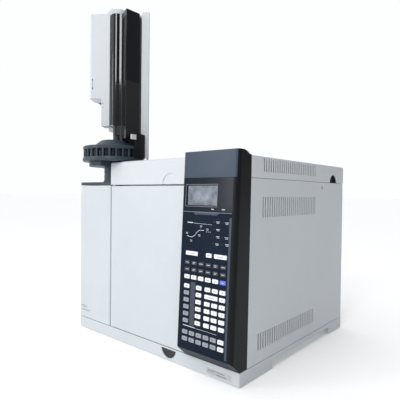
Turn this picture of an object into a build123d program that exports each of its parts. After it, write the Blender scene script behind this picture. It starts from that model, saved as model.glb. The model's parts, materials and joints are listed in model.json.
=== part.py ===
from build123d import *
import math
import os

os.makedirs("parts", exist_ok=True)

# ---------------------------------------------------------------- driving dimensions (mm)
WIDTH = 580.0            # cabinet, left side to right side
DEPTH = 525.0            # cabinet, sill front to rear panel
TOP = 480.5              # top of the fixed covers
SILL = 31.5              # top of the base plinth
SEAM = 432.0             # seam between side panel and top cover, right side
DECK = 427.0             # top of the low deck on the left
NARROW = 143.5           # width of the narrow left bay
KEYCOL = 150.5           # width of the keypad column
LEG_F, LEG_R, NOTCH = 128.0, 87.5, 20.0
WALL = 2.5

DOOR_X0, DOOR_X1 = -434.5, -152.5
DOOR_Z0, DOOR_Z1 = 33.0, 416.0
DOOR_T = 20.0
PIVOT_X, PIVOT_Y, PIN_R = -428.0, 7.0, 3.0

CAV = (-425.0, -162.0, 25.0, 222.0, 62.0, 398.0)      # oven cavity
FAN_X, FAN_Z = -293.5, 230.0
FLAP_Y = 515.0
INLETS = ((-355.0, 88.0), (-232.0, 88.0))
DETECTORS = ((-345.0, 190.0), (-242.0, 190.0))

FACE_B = (-28.7, 58.0)   # keypad face, lower edge (y, z)
FACE_T = (-9.1, 490.0)   # keypad face, upper edge (y, z)
CORNER_R = 9.0           # rounding of the column's front right corner
KEY_W, KEY_H, KEY_PROUD, KEY_GAP = 15.2, 9.0, 1.6, 0.5
KX = (-128.0, -108.2, -88.4, -68.6, -48.8, -29.0)

TX, TY, TURN = -464.0, 30.0, 40.0        # mounting post axis and tower heading
TURRET_R = 84.0
CAP_H = 33.0
PROW = (43.0, -46.0)     # ridge of the tower door
LOBE_X, LOBE_Y, LOBE_R = 7.0, 3.0, 18.0  # rounded hinge side of the tower door

XO, YO = 290.0, -252.0                    # datum corner in the part's own frame
DP = Plane(origin=(XO, YO, 0), x_dir=(1, 0, 0), z_dir=(0, 0, 1))
ca, sa = math.cos(math.radians(TURN)), math.sin(math.radians(TURN))
TP = Plane(origin=(XO + TX, YO + TY, 0), x_dir=(ca, sa, 0), z_dir=(0, 0, 1))
tilt = math.atan2(FACE_T[0] - FACE_B[0], FACE_T[1] - FACE_B[1])
FP = Plane(origin=(XO, YO + FACE_B[0], FACE_B[1]), x_dir=(1, 0, 0),
           z_dir=(0, -math.cos(tilt), math.sin(tilt)))   # keypad face, local y runs up the face


def side(x):
    return Plane(origin=(XO + x, YO, 0), x_dir=(0, 1, 0), z_dir=(1, 0, 0))


def front(y):
    return Plane(origin=(XO, YO + y, 0), x_dir=(1, 0, 0), z_dir=(0, -1, 0))


def bx(x0, x1, y0, y1, z0, z1, mode=Mode.ADD):
    """Block between two corners, in the workplane of the part being built."""
    with Locations(((x0 + x1) / 2, (y0 + y1) / 2, (z0 + z1) / 2)):
        Box(x1 - x0, y1 - y0, z1 - z0, mode=mode)


def disc(plane, pts, r, length, mode=Mode.ADD):
    """Round bars or holes of one radius standing on a plane."""
    with BuildSketch(plane) as outline:
        with Locations(*pts):
            Circle(r)
    extrude(outline.sketch, amount=length, mode=mode)


def fv(z):
    """Height above the floor to distance up the keypad face."""
    return (z - FACE_B[1]) / math.cos(tilt)


def save(b, name):
    b.part.label = name
    export_step(b.part, "parts/%s.step" % name)


# ================================================================ base and casing
with BuildPart(DP) as base_pan:
    bx(-WIDTH, 0, 0, DEPTH, 2, SILL)
    fillet(base_pan.edges().filter_by(Axis.Z), 4)
    bx(-WIDTH + 6, -6, 6, DEPTH - 6, 0, SILL - 3.5, mode=Mode.SUBTRACT)
    bx(-WIDTH - 1, 1, LEG_F, DEPTH - LEG_R, 0, NOTCH, mode=Mode.SUBTRACT)
    # half-moon opening for the door release
    with BuildSketch(front(0)):
        with Locations((-206, SILL)):
            Circle(24.6)
        with Locations((-206, SILL - 3.4 + 20)):
            Rectangle(60, 40, mode=Mode.SUBTRACT)
    extrude(amount=-7, mode=Mode.SUBTRACT)
    # slot for the latch hook
    bx(-213, -199, 7.2, 22, SILL - 4, SILL + 1, mode=Mode.SUBTRACT)
    # louvres under the oven bay
    with Locations(*[(-290 + 16 * i, 330, SILL - 2) for i in range(-5, 6)]):
        Box(6, 120, 10, mode=Mode.SUBTRACT)
save(base_pan, "base_pan")

with BuildPart(DP) as leveling_feet:
    for x in (-WIDTH + 40, -40):
        for y in (50, DEPTH - 45):
            disc(DP, [(x, y)], 20, 9)
            disc(DP.offset(9), [(x, y)], 9, SILL - 3.5 - 9)
    fillet(leveling_feet.edges().filter_by(GeomType.CIRCLE).group_by(Axis.Z)[0], 2)
save(leveling_feet, "leveling_feet")

with BuildPart(DP) as front_left_panel:
    bx(-WIDTH, -WIDTH + NARROW, 0, 30, 32.3, 417.5)
    fillet(front_left_panel.edges().filter_by(Axis.Z).group_by(Axis.Y)[0], 3)
    bx(-WIDTH + WALL, -WIDTH + NARROW - WALL, WALL, 40, 32.3 + WALL, 417.5 - WALL, mode=Mode.SUBTRACT)
save(front_left_panel, "front_left_panel")

with BuildPart(DP) as left_side_panel:
    bx(-WIDTH, -WIDTH + WALL, 30.8, DEPTH - 3.5, 32.3, 417.5)
    bx(-WIDTH + WALL + 0.1, -WIDTH + 14, 30.8, DEPTH - 3.5, 32.3, 34.3)      # welded foot strip
    with Locations(*[(-WIDTH, 300 + 12 * i, 90) for i in range(-8, 9)]):
        Box(10, 5, 44, mode=Mode.SUBTRACT)
save(left_side_panel, "left_side_panel")

with BuildPart(DP) as right_side_panel:
    with BuildSketch(side(-WALL)):
        with BuildLine():
            Polyline((26.8, 32.3), (DEPTH - 3.5, 32.3), (DEPTH - 3.5, SEAM), (34.2, SEAM), close=True)
        make_face()
    extrude(amount=WALL)
    bx(-14, -WALL - 0.1, 40, DEPTH - 3.5, 32.3, 34.3)        # welded foot strip
    # ventilation slots, lower and upper groups
    with Locations(*[(0, 69 + 9.8 * i, 78) for i in range(28)]):
        Box(10, 4.2, 36, mode=Mode.SUBTRACT)
    with Locations(*[(0, 81.5 + 9.8 * i, 369.5) for i in range(27)]):
        Box(10, 4.2, 45, mode=Mode.SUBTRACT)
    bx(-5, 5, 377, 383, 413, 423, mode=Mode.SUBTRACT)
save(right_side_panel, "right_side_panel")

with BuildPart(DP) as rear_panel:
    bx(-WIDTH + 1, -1, DEPTH - 3, DEPTH, 32.3, 417.0)
    bx(-435, -152.5, DEPTH - 3, DEPTH, 416, 454.5)               # closes the space below the lid's hinge
    bx(-411, -329, 500, 530, 289, 371, mode=Mode.SUBTRACT)       # exhaust duct
    bx(-251, -169, 500, 530, 59, 141, mode=Mode.SUBTRACT)        # intake duct
    disc(front(500), [(-75, 330)], 41.0, -40, mode=Mode.SUBTRACT)  # cooling fan
    bx(-90, -60, 500, 530, 76, 100, mode=Mode.SUBTRACT)          # power inlet
    bx(-86, -64, 500, 530, 118, 134, mode=Mode.SUBTRACT)         # power switch
    disc(front(500), [(-540, 300), (-515, 300), (-490, 300)], 5.3, -40, mode=Mode.SUBTRACT)
    with Locations(*[(-293.5 + 12 * i, 523, 215) for i in range(-6, 7)]):
        Box(5, 12, 40, mode=Mode.SUBTRACT)
save(rear_panel, "rear_panel")

with BuildPart(DP) as side_deck_cap:
    bx(-WIDTH, -436.5, 0, DEPTH, 418.3, DECK)
    fillet(side_deck_cap.edges().filter_by(Axis.Z).group_by(Axis.X)[0], 3)
    fillet(side_deck_cap.faces().sort_by(Axis.Z)[-1].edges(), 1.5)
    bx(-WIDTH + 3, -439.5, 3, DEPTH - 3, 418, DECK - 3, mode=Mode.SUBTRACT)
save(side_deck_cap, "side_deck_cap")

with BuildPart(DP) as front_top_cover:
    bx(-435.5, -152, 0, 150, 418.8, TOP)
    fillet(front_top_cover.faces().sort_by(Axis.Y)[0].edges().filter_by(Axis.X).sort_by(Axis.Z)[-1:], 5)
    bx(-432.5, -155, 4.5, 151, 418, TOP - 3, mode=Mode.SUBTRACT)
    # finger scoop in the lower edge
    with BuildSketch(front(0)):
        with Locations((-206, 418.8)):
            Circle(26)
        with Locations((-206, 398.8)):
            Rectangle(60, 40, mode=Mode.SUBTRACT)
    extrude(amount=-2.6, mode=Mode.SUBTRACT)
    disc(DP.offset(440), [(INLETS[0][0], INLETS[0][1]), (INLETS[1][0], INLETS[1][1])], 24, 60, mode=Mode.SUBTRACT)
save(front_top_cover, "front_top_cover")

with BuildPart(DP) as right_top_cover:
    bx(-151, 0, 34.4, DEPTH, SEAM + 0.8, TOP)
    fillet(right_top_cover.faces().sort_by(Axis.Z)[-1].edges().filter_by(Axis.Y).sort_by(Axis.X)[-1:], 4)
    bx(-148.5, -WALL, 34, DEPTH - WALL, SEAM, TOP - WALL, mode=Mode.SUBTRACT)
    with Locations(*[(-4, 85 + 9.65 * i, TOP - 14.5) for i in range(27)]):
        Box(18, 4.2, 37, mode=Mode.SUBTRACT)
    with BuildSketch(side(-5)):
        with Locations((453, SEAM)):
            Circle(22.8)
    extrude(amount=8, mode=Mode.SUBTRACT)
save(right_top_cover, "right_top_cover")

with BuildPart(DP) as oven_frame:
    # bulkheads either side of the oven and the left bay's stiffener
    bx(-436.3, -435.1, 47, DEPTH - 3.5, SILL, 417.0)
    bx(-151.9, -150.7, 36, DEPTH - 3.5, SILL, 430)
    bx(-150.6, -140, 36, DEPTH - 3.5, 428.8, 430)
    bx(-576, -437, 47, 48.2, 34.5, 412)
    bx(-577, -575.8, 48.3, DEPTH - 4, 34.5, 412)
    # four strips round the oven mouth, butt jointed
    bx(-434.5, -421.5, 22, 24.6, 33, 416.2)
    bx(-165, -153, 22, 24.6, 33, 416.2)
    bx(-421.4, -165.1, 22, 24.6, 33, 64)
    bx(-421.4, -165.1, 22, 24.6, 396, 416.2)
    # deck plate over the oven
    bx(-432.2, -155.5, 24.8, DEPTH - 4, 417.3, 419.3)
    bx(-432.2, -417, 4.7, 24.7, 417.3, 419.3)
    disc(DP.offset(410), [INLETS[0], INLETS[1]], 12.6, 20, mode=Mode.SUBTRACT)
    disc(DP.offset(410), [DETECTORS[0], DETECTORS[1]], 9.6, 20, mode=Mode.SUBTRACT)
save(oven_frame, "oven_frame")

# ================================================================ oven
with BuildPart(DP) as oven_insulation:
    bx(-434.5, -153, 24.8, 252, 46, 416.2)
    bx(-427.2, -159.8, 20, 224.2, 59.8, 400.2, mode=Mode.SUBTRACT)
    disc(front(200), [(FAN_X, FAN_Z)], 9, -80, mode=Mode.SUBTRACT)
    disc(DP.offset(390), [INLETS[0], INLETS[1]], 12.6, 40, mode=Mode.SUBTRACT)
    disc(DP.offset(390), [DETECTORS[0], DETECTORS[1]], 9.6, 40, mode=Mode.SUBTRACT)
save(oven_insulation, "oven_insulation")

with BuildPart(DP) as oven_liner:
    bx(CAV[0] - 2, CAV[1] + 2, 25, CAV[3] + 2, CAV[4] - 2, CAV[5] + 2)
    bx(CAV[0], CAV[1], 20, CAV[3], CAV[4], CAV[5], mode=Mode.SUBTRACT)
    disc(front(200), [(FAN_X, FAN_Z)], 9, -80, mode=Mode.SUBTRACT)
    disc(DP.offset(390), [INLETS[0], INLETS[1]], 12.6, 40, mode=Mode.SUBTRACT)
    disc(DP.offset(390), [DETECTORS[0], DETECTORS[1]], 9.6, 40, mode=Mode.SUBTRACT)
save(oven_liner, "oven_liner")

with BuildPart(DP) as fan_shroud:
    bx(-424.5, -162.5, 176, 177.5, 62.5, 397.5)
    bx(-424.5, -423, 177.6, 221.5, 200, 260)                 # spot welded tabs
    bx(-164, -162.5, 177.6, 221.5, 200, 260)
    bx(-430, -380, 170, 180, 350, 400, mode=Mode.SUBTRACT)
    bx(-207, -150, 170, 180, 350, 400, mode=Mode.SUBTRACT)
    bx(-430, -380, 170, 180, 60, 110, mode=Mode.SUBTRACT)
    bx(-207, -150, 170, 180, 60, 110, mode=Mode.SUBTRACT)
    with BuildSketch(front(170)):
        with Locations((FAN_X, FAN_Z)):
            Circle(7)
            with PolarLocations(20, 8):
                Circle(5)
            with PolarLocations(38, 14):
                Circle(6)
            with PolarLocations(58, 18):
                Circle(7)
    extrude(amount=-20, mode=Mode.SUBTRACT)
save(fan_shroud, "fan_shroud")

with BuildPart(DP) as heater_coil:
    for y, r in ((206, 98), (206, 110), (194, 104)):
        with Locations(Plane(origin=(FAN_X, y, FAN_Z), z_dir=(0, 1, 0))):
            Torus(r, 2.2)
    for a in (45, 135, 225, 315):
        cxx, czz = FAN_X + 104 * math.cos(math.radians(a)), FAN_Z + 104 * math.sin(math.radians(a))
        bx(cxx - 10, cxx + 10, 209, 222, czz - 5, czz + 5)
save(heater_coil, "heater_coil")

with BuildPart(DP) as oven_fan:
    with BuildSketch(front(186)):
        with Locations((FAN_X, FAN_Z)):
            Circle(78)
    extrude(amount=-1.5)
    with BuildSketch(front(187.5)):
        with Locations((FAN_X, FAN_Z)):
            with PolarLocations(56, 12):
                Rectangle(36, 1.6)
    extrude(amount=-24)
    disc(front(180), [(FAN_X, FAN_Z)], 11, -14)
    disc(front(194), [(FAN_X, FAN_Z)], 5, -102)
save(oven_fan, "oven_fan")

with BuildPart(DP) as fan_motor:
    disc(front(253), [(FAN_X, FAN_Z)], 44, -46)
    disc(front(299), [(FAN_X, FAN_Z)], 20, -8)
    fillet(fan_motor.edges().filter_by(GeomType.CIRCLE).group_by(Axis.Y)[-1], 2)
    bx(FAN_X - 60, FAN_X + 60, 252.2, 256, FAN_Z - 10, FAN_Z + 10)
    disc(front(250), [(FAN_X, FAN_Z)], 5.06, -50, mode=Mode.SUBTRACT)
save(fan_motor, "fan_motor")

with BuildPart(DP) as capillary_column:
    for y in (92, 138):
        with BuildSketch(front(y)):
            with Locations((FAN_X, FAN_Z + 6)):
                Circle(84)
                Circle(81.5, mode=Mode.SUBTRACT)
                Rectangle(168, 3)
                Rectangle(3, 168)
                Circle(8)
        extrude(amount=-1.5)
    for a in range(0, 360, 45):
        disc(front(92), [(FAN_X + 82.7 * math.cos(math.radians(a)), FAN_Z + 6 + 82.7 * math.sin(math.radians(a)))], 1.2, -47.5)
    bx(FAN_X - 2, FAN_X + 2, 138, 175.8, FAN_Z + 84, FAN_Z + 92)
    bx(FAN_X - 2, FAN_X + 2, 138, 141, FAN_Z + 80, FAN_Z + 92)
    for i in range(12):
        with Locations(Plane(origin=(FAN_X, 97.5 + 3.3 * i, FAN_Z + 6), z_dir=(0, 1, 0))):
            Torus(85.3, 1.0)
save(capillary_column, "capillary_column")

with BuildPart(DP) as injection_ports:
    for p in INLETS:
        disc(DP.offset(388), [p], 7, 12)
        disc(DP.offset(400), [p], 12, 62)
        disc(DP.offset(462), [p], 17, 10)
        disc(DP.offset(472), [p], 9, 5)
        disc(DP.offset(419.5), [p], 20, 3)
        disc(DP.offset(380), [p], 1.2, 110, mode=Mode.SUBTRACT)
save(injection_ports, "injection_ports")

with BuildPart(DP) as detectors:
    for p in DETECTORS:
        disc(DP.offset(388), [p], 9, 34)
        disc(DP.offset(419.6), [p], 22, 22)
        disc(DP.offset(441.6), [p], 13, 22)
        disc(DP.offset(463.6), [p], 8, 8)
        disc(DP.offset(380), [p], 1.2, 95, mode=Mode.SUBTRACT)
save(detectors, "detectors")

# ---------------------------------------------------------------- oven door
with BuildPart(DP) as oven_door_shell:
    bx(DOOR_X0, DOOR_X1, 0, DOOR_T, DOOR_Z0, DOOR_Z1)
    fillet(oven_door_shell.edges().filter_by(Axis.Z).group_by(Axis.Y)[0].sort_by(Axis.X)[0], 6.3)
    fillet(oven_door_shell.edges().filter_by(Axis.Z).group_by(Axis.Y)[0].sort_by(Axis.X)[-1], 3)
    bx(-419, DOOR_X1 - 3, 3, 25, DOOR_Z0 + 14, DOOR_Z1 - 3, mode=Mode.SUBTRACT)
    disc(DP.offset(DOOR_Z0 - 1), [(PIVOT_X, PIVOT_Y)], PIN_R + 0.06, 11, mode=Mode.SUBTRACT)
    disc(DP.offset(DOOR_Z1 - 10), [(PIVOT_X, PIVOT_Y)], PIN_R + 0.06, 11, mode=Mode.SUBTRACT)
    bx(-216, -196, 8.6, 25, DOOR_Z0 - 1, DOOR_Z0 + 9, mode=Mode.SUBTRACT)   # keeper pocket
save(oven_door_shell, "oven_door_shell")

with BuildPart(DP) as oven_door_liner:
    bx(-418.8, DOOR_X1 - 3.2, 18.2, DOOR_T, DOOR_Z0 + 14.2, DOOR_Z1 - 3.2)
    bx(-412, -180, DOOR_T, 20.9, 74, 386)                   # low pressed field, hollow behind
    bx(-410.5, -181.5, 18, 19.6, 75.5, 384.5, mode=Mode.SUBTRACT)
save(oven_door_liner, "oven_door_liner")

with BuildPart(DP) as oven_door_gasket:
    with BuildSketch(front(DOOR_T)):
        with Locations(((-418.6 - 170) / 2, 230)):
            RectangleRounded(272, 348, 8)
            RectangleRounded(255, 330, 3, mode=Mode.SUBTRACT)
    extrude(amount=-1.6)
save(oven_door_gasket, "oven_door_gasket")

with BuildPart(DP) as hinge_hardware:
    disc(DP.offset(SILL), [(PIVOT_X, PIVOT_Y)], 6.5, 1.2)
    disc(DP.offset(SILL + 1.2), [(PIVOT_X, PIVOT_Y)], PIN_R, 8.5)
    disc(DP.offset(DOOR_Z1 - 8), [(PIVOT_X, PIVOT_Y)], PIN_R, 9.3)
    # brackets and pins of the detector lid
    for x in (-413, -181):
        bx(x - 5, x + 5, 504, 518, 419.4, 473)
        bx(x - 5, x + 5, 490, 518, 419.4, 421.4)
    disc(side(-430), [(511, 467)], 3.0, 20)
    disc(side(-184), [(511, 467)], 3.0, 20)
save(hinge_hardware, "hinge_hardware")

with BuildPart(DP) as door_latch_button:
    with BuildSketch(front(1.2)):
        with Locations((-206, SILL - 0.6)):
            Circle(23.4)
        with Locations((-206, SILL - 4.0 + 20)):
            Rectangle(60, 40, mode=Mode.SUBTRACT)
    extrude(amount=-5.4)
    bx(-226, -215, 6.6, 22, 12, 19)
    bx(-197, -186, 6.6, 22, 12, 19)
    bx(-211.5, -200.5, 4.0, 7.0, 0, 40, mode=Mode.SUBTRACT)  # room for the hook behind the button
save(door_latch_button, "door_latch_button")

with BuildPart(DP) as latch_hook:
    with BuildSketch(side(-210)):
        with BuildLine():
            Polyline((11, 20), (20.3, 20), (20.3, 21), (60, 21), (60, 26), (15, 26), (15, 36), (19, 36), (11, 39.5), close=True)
        make_face()
        with Locations((62, 22)):
            Circle(5)
    extrude(amount=8)
    with BuildSketch(side(-220)):
        with Locations((62, 22)):
            Circle(2.5)
    extrude(amount=28)
save(latch_hook, "latch_hook")

# ================================================================ electronics bay and services
with BuildPart(DP) as circuit_boards:
    bx(-12.6, -11, 60, 470, 110, 400)
    bx(-30, -12.6, 100, 150, 150, 210)
    bx(-22, -12.6, 200, 240, 260, 300)
    bx(-40, -12.6, 380, 440, 320, 380)
    bx(-18, -12.6, 300, 360, 160, 220)
    with Locations(*[(-11, y, z) for y in (70, 460) for z in (120, 390)]):
        Box(10, 4, 4, mode=Mode.SUBTRACT)
    # display and keypad board behind the bezel
    with BuildSketch(FP.offset(-16)):
        with Locations((-78, fv(240))):
            Rectangle(126, 372)
    extrude(amount=1.6)
    with BuildSketch(FP.offset(-14.4)):
        with Locations(((-140.5 - 53.5) / 2, fv(394))):
            Rectangle(84, 42)
    extrude(amount=9)
save(circuit_boards, "circuit_boards")

with BuildPart(DP) as power_supply:
    bx(-146, -56, 300, 470, SILL, 116)
    with Locations(*[(-101 + 11 * i, 385, 116) for i in range(-3, 4)]):
        Box(4, 120, 8, mode=Mode.SUBTRACT)
    bx(-150.6, -146, 310, 460, SILL, 50)
save(power_supply, "power_supply")

with BuildPart(DP) as gas_manifold:
    bx(-560, -470, 440, 500, 270, 330)
    bx(-556, -540, 400, 440, 280, 296)
    bx(-530, -514, 400, 440, 280, 296)
    bx(-504, -488, 400, 440, 280, 296)
    bx(-575.8, -560, 450, 490, 290, 310)
    disc(front(500), [(-540, 300), (-515, 300), (-490, 300)], 5, -33)
    for x in (-540, -515, -490):
        with BuildSketch(front(525.4)):
            with Locations((x, 300)):
                RegularPolygon(7, 6)
        extrude(amount=-7)
    disc(front(480), [(-540, 300), (-515, 300), (-490, 300)], 1.2, -60, mode=Mode.SUBTRACT)
save(gas_manifold, "gas_manifold")

with BuildPart(DP) as air_ducts:
    for (x0, x1, z0, z1) in ((-410.5, -329.5, 289.5, 370.5), (-250.5, -169.5, 59.5, 140.5)):
        bx(x0, x1, 484, 558, z0, z1)
        bx(x0 + 1.5, x1 - 1.5, 483, 560, z0 + 1.5, z1 - 1.5, mode=Mode.SUBTRACT)
        disc(side(x0 - 1), [(FLAP_Y, (z0 + z1) / 2)], 2.05, x1 - x0 + 2, mode=Mode.SUBTRACT)
save(air_ducts, "air_ducts")

for nm, (x0, x1, zc) in (("exhaust_flap", (-409.0, -331.0, 330.0)), ("intake_flap", (-249.0, -171.0, 100.0))):
    with BuildPart(DP) as flap:
        bx(x0 + 1, x1 - 1, FLAP_Y - 0.8, FLAP_Y + 0.8, zc - 36, zc + 36)
        disc(side(x0 - 1.4), [(FLAP_Y, zc)], 2.0, x1 - x0 + 2.8)
    save(flap, nm)

with BuildPart(DP) as cooling_fan_frame:
    bx(-121, -29, 494, 521.6, 284, 376)
    disc(front(490), [(-75, 330)], 42, -40, mode=Mode.SUBTRACT)
    with BuildSketch(front(494)):
        with Locations((-75, 330)):
            Circle(19)
            Rectangle(90, 4)
            Rectangle(4, 90)
    extrude(amount=-3)
    disc(front(497), [(-75, 330)], 6, -8)
    disc(front(490), [(-75, 330)], 2.05, -40, mode=Mode.SUBTRACT)
save(cooling_fan_frame, "cooling_fan_frame")

with BuildPart(DP) as cooling_fan_rotor:
    with BuildSketch(front(499.5)):
        with Locations((-75, 330)):
            Circle(18)
    extrude(amount=-19)
    disc(front(498), [(-75, 330)], 9, -10, mode=Mode.SUBTRACT)
    disc(front(492), [(-75, 330)], 2.0, -20)
    for k in range(7):
        a = math.radians(k * 360 / 7)
        rd = (math.cos(a), 0, math.sin(a))
        tg = (-math.sin(a), 0, math.cos(a))
        n = (tg[0] * 0.8, -0.6, tg[2] * 0.8)
        with BuildSketch(Plane(origin=(XO - 75 + 28.5 * rd[0], YO + 509, 330 + 28.5 * rd[2]), x_dir=rd, z_dir=n)):
            Rectangle(23, 17)
        extrude(amount=0.8, both=True)
save(cooling_fan_rotor, "cooling_fan_rotor")

with BuildPart(DP) as power_inlet:
    bx(-89.5, -60.5, 498, 527, 76.5, 99.5)
    bx(-92, -58, 525.2, 527, 74, 102)
    bx(-87, -63, 508, 530, 79, 97, mode=Mode.SUBTRACT)
    bx(-89.5, -60.5, 498, 505, 99.5, 133.5)
    for x, z in ((-80, 86), (-75, 91), (-70, 86)):
        bx(x - 1, x + 1, 506, 522, z - 2.5, z + 2.5)
    # rocker switch housing
    bx(-85.5, -64.5, 505, 525, 118.5, 133.5)
    bx(-88, -62, 525.2, 527, 116, 136)
    bx(-85.5, -64.5, 524, 526, 118.5, 133.5)
    bx(-83, -67, 508, 530, 120.5, 131.5, mode=Mode.SUBTRACT)
    disc(DP.offset(119.2), [(-75, 521.5)], 1.56, 13.6, mode=Mode.SUBTRACT)   # rocker pin seats
save(power_inlet, "power_inlet")

with BuildPart(DP) as power_switch:
    with BuildSketch(Plane(origin=(XO, YO, 126), x_dir=(1, 0, 0), z_dir=(0, 0, 1))):
        with BuildLine():
            Polyline((-81.5, 521), (-81.5, 529.0), (-75, 526.5), (-68.5, 527.3), (-68.5, 521), (-75, 517), close=True)
        make_face()
    extrude(amount=4.6, both=True)
    disc(DP.offset(119.4), [(-75, 521.5)], 1.5, 13.2)
save(power_switch, "power_switch")

# ================================================================ detector lid
with BuildPart(DP) as detector_lid:
    bx(-435.5, -152, 151.2, DEPTH - 1, 421.3, TOP)
    fillet(detector_lid.faces().sort_by(Axis.Z)[-1].edges().filter_by(Axis.X).sort_by(Axis.Y)[-1:], 5)
    bx(-432.3, -155.2, 151, DEPTH - 4, 421, TOP - 3, mode=Mode.SUBTRACT)
    for x in (-424, -170):
        bx(x - 4, x + 4, 502, DEPTH - 4, 458, TOP - 3)
    bx(-440, -150, 516, DEPTH + 1, 420, 457.5, mode=Mode.SUBTRACT)   # the rear wall stops at the hinge line
    bx(-419.5, -406.5, 516, DEPTH + 1, 450, TOP - 3.2, mode=Mode.SUBTRACT)   # notches that swing past the brackets
    bx(-187.5, -174.5, 516, DEPTH + 1, 450, TOP - 3.2, mode=Mode.SUBTRACT)
    disc(side(-440), [(511, 467)], 3.06, 300, mode=Mode.SUBTRACT)
    # refill the side walls around the pin line
    bx(-435.5, -432.3, 502, 520, 458, 476)
    bx(-155.2, -152, 502, 520, 458, 476)
    for x in (-390, -345, -242, -197):
        with Locations(*[(x, 200 + 12 * i, TOP) for i in range(-2, 3)]):
            Box(26, 5, 12, mode=Mode.SUBTRACT)
save(detector_lid, "detector_lid")

# ================================================================ keypad column
with BuildPart(DP) as keypad_bezel:
    with BuildSketch(side(-KEYCOL)):
        with BuildLine():
            Polyline((26.0, 32.3), (0, 32.3), FACE_B, FACE_T, (10, 489.4), (19, 486.5), (26, 482.2), (33.6, 481), (33.6, 432.6), close=True)
        make_face()
    extrude(amount=KEYCOL)
    front_face = keypad_bezel.faces().sort_by(Axis.Y)[0]
    right_edge = front_face.edges().sort_by(Axis.X)[-1]
    fillet(right_edge, CORNER_R)
    fillet(keypad_bezel.faces().sort_by(Axis.Y)[0].edges().sort_by(Axis.X)[0], 2.2)
    with BuildSketch(side(-KEYCOL + 3.2)):
        with BuildLine():
            Polyline((60, 36), (2, 36), (FACE_B[0] + 4.2, 60), (FACE_T[0] + 4.2, 486), (10, 485.6), (19, 483), (27, 478.2), (60, 476.5), close=True)
        make_face()
    extrude(amount=KEYCOL - 12.4, mode=Mode.SUBTRACT)
    bx(-12, -3.2, 2, 60, 36, 476.5, mode=Mode.SUBTRACT)
    # recess for the key plate, opening for the display
    with BuildSketch(FP):
        with Locations(((-147 - 12.5) / 2, (fv(61) + fv(351)) / 2)):
            RectangleRounded(134.5, fv(351) - fv(61), 4)
    extrude(amount=-1.4, mode=Mode.SUBTRACT)
    with BuildSketch(FP):
        with Locations(((-140.5 - 53.5) / 2, fv(394))):
            RectangleRounded(87, 46, 2)
    extrude(amount=-12, mode=Mode.SUBTRACT)
save(keypad_bezel, "keypad_bezel")

groups = {
    "key_start": [(-116.7, 267.8, 34.0)],
    "key_stop": [(-68.6, 267.8, 15.2)],
    "key_prep": [(-37.8, 267.8, 33.0)],
    "keys_function": [(x, z, KEY_W) for z in (247.4, 232.4) for x in KX],
    "keys_zone": [(x, 216.2, KEY_W) for x in KX[:5]] + [(-127.7, 195.8, KEY_W)]
                 + [(-92.9, z, KEY_W) for z in (195.8, 180.8, 165.7, 150.6, 135.5, 120.6)]
                 + [(KX[5], z, KEY_W) for z in (95.7, 81.1)],
    "key_shift": [(KX[5], 216.2, KEY_W)],
    "keys_number": [(x, z, KEY_W) for z in (195.8, 165.7, 150.6, 135.5, 120.6) for x in KX[3:]]
                   + [(-58.6, 180.8, 35.0), (KX[5], 180.8, KEY_W)],
    "keys_store": [(-127.7, z, KEY_W) for z in (180.8, 165.7, 150.6, 135.5, 120.6)]
                  + [(x, z, KEY_W) for z in (95.7, 81.1) for x in KX[:5]],
}
all_keys = [k for g in groups.values() for k in g]

with BuildPart(DP) as keypad_plate:
    with BuildSketch(FP.offset(-1.3)):
        with Locations(((-147 - 12.5) / 2, (fv(61) + fv(351)) / 2)):
            RectangleRounded(134.1, fv(351) - fv(61) - 0.4, 3.8)
        for (x, z, w) in all_keys:
            with Locations((x, fv(z))):
                RectangleRounded(w + 2 * KEY_GAP, KEY_H + 2 * KEY_GAP, 1.6, mode=Mode.SUBTRACT)
    extrude(amount=1.3)
save(keypad_plate, "keypad_plate")

# holes behind the plate are cut through the bezel as well
with BuildPart() as keypad_bezel_cut:
    add(keypad_bezel.part)
    with BuildSketch(FP):
        for (x, z, w) in all_keys:
            with Locations((x, fv(z))):
                Rectangle(w + 2 * KEY_GAP, KEY_H + 2 * KEY_GAP)
    extrude(amount=-12, mode=Mode.SUBTRACT)
save(keypad_bezel_cut, "keypad_bezel")

for name, keys in groups.items():
    with BuildPart(DP) as key:
        with BuildSketch(FP.offset(-5.6)):
            for (x, z, w) in keys:
                with Locations((x, fv(z))):
                    RectangleRounded(w, KEY_H, 1.4)
        extrude(amount=5.6 + KEY_PROUD)
    save(key, name)

with BuildPart(DP) as display_window:
    with BuildSketch(FP.offset(-3.4)):
        with Locations(((-140.5 - 53.5) / 2, fv(394))):
            RectangleRounded(86.6, 45.6, 1.8)
    extrude(amount=2.4)
save(display_window, "display_window")

# ================================================================ sampler tower
with BuildPart(TP) as mounting_post:
    disc(TP.offset(DECK), [(0, 0)], 27, 4)
    disc(TP.offset(DECK + 4), [(0, 0)], 25, 38.8)
    disc(TP.offset(DECK + 42.8), [(0, 0)], 12, 68)
    for z in (434, 448):
        with BuildSketch(TP.offset(z)):
            Circle(26)
            Circle(24.4, mode=Mode.SUBTRACT)
        extrude(amount=2.4, mode=Mode.SUBTRACT)
save(mounting_post, "mounting_post")

CUT_X = -437.5      # the arm stays clear of the front cover's side
with BuildPart(TP) as tower_base:
    disc(TP.offset(470.0), [(0, 0)], 66, 12.2)
    bx(-45, 20, 0, 122, 470.0, 482.2)
    bx(5, 70, 90, 116, 482.2, 585.8)
    with BuildSketch(DP.offset(460)) as clear:
        with Locations((CUT_X + 100, 100)):
            Rectangle(200, 400)
    extrude(clear.sketch, amount=23.0, mode=Mode.SUBTRACT)
    bx(-45, 5, 90, 116, 482.2, 500)
    disc(TP.offset(460), [(0, 0)], 12.2, 30, mode=Mode.SUBTRACT)
    # lower hinge arm for the door, with a round boss under the pin
    bx(-1, 16, 3, 90, 551.8, 558.8)
    disc(TP.offset(546.2), [(7, 3)], 9, 12.6)
    disc(TP.offset(558.8), [(7, 3)], 4.0, 16)
save(tower_base, "tower_base")

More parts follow.
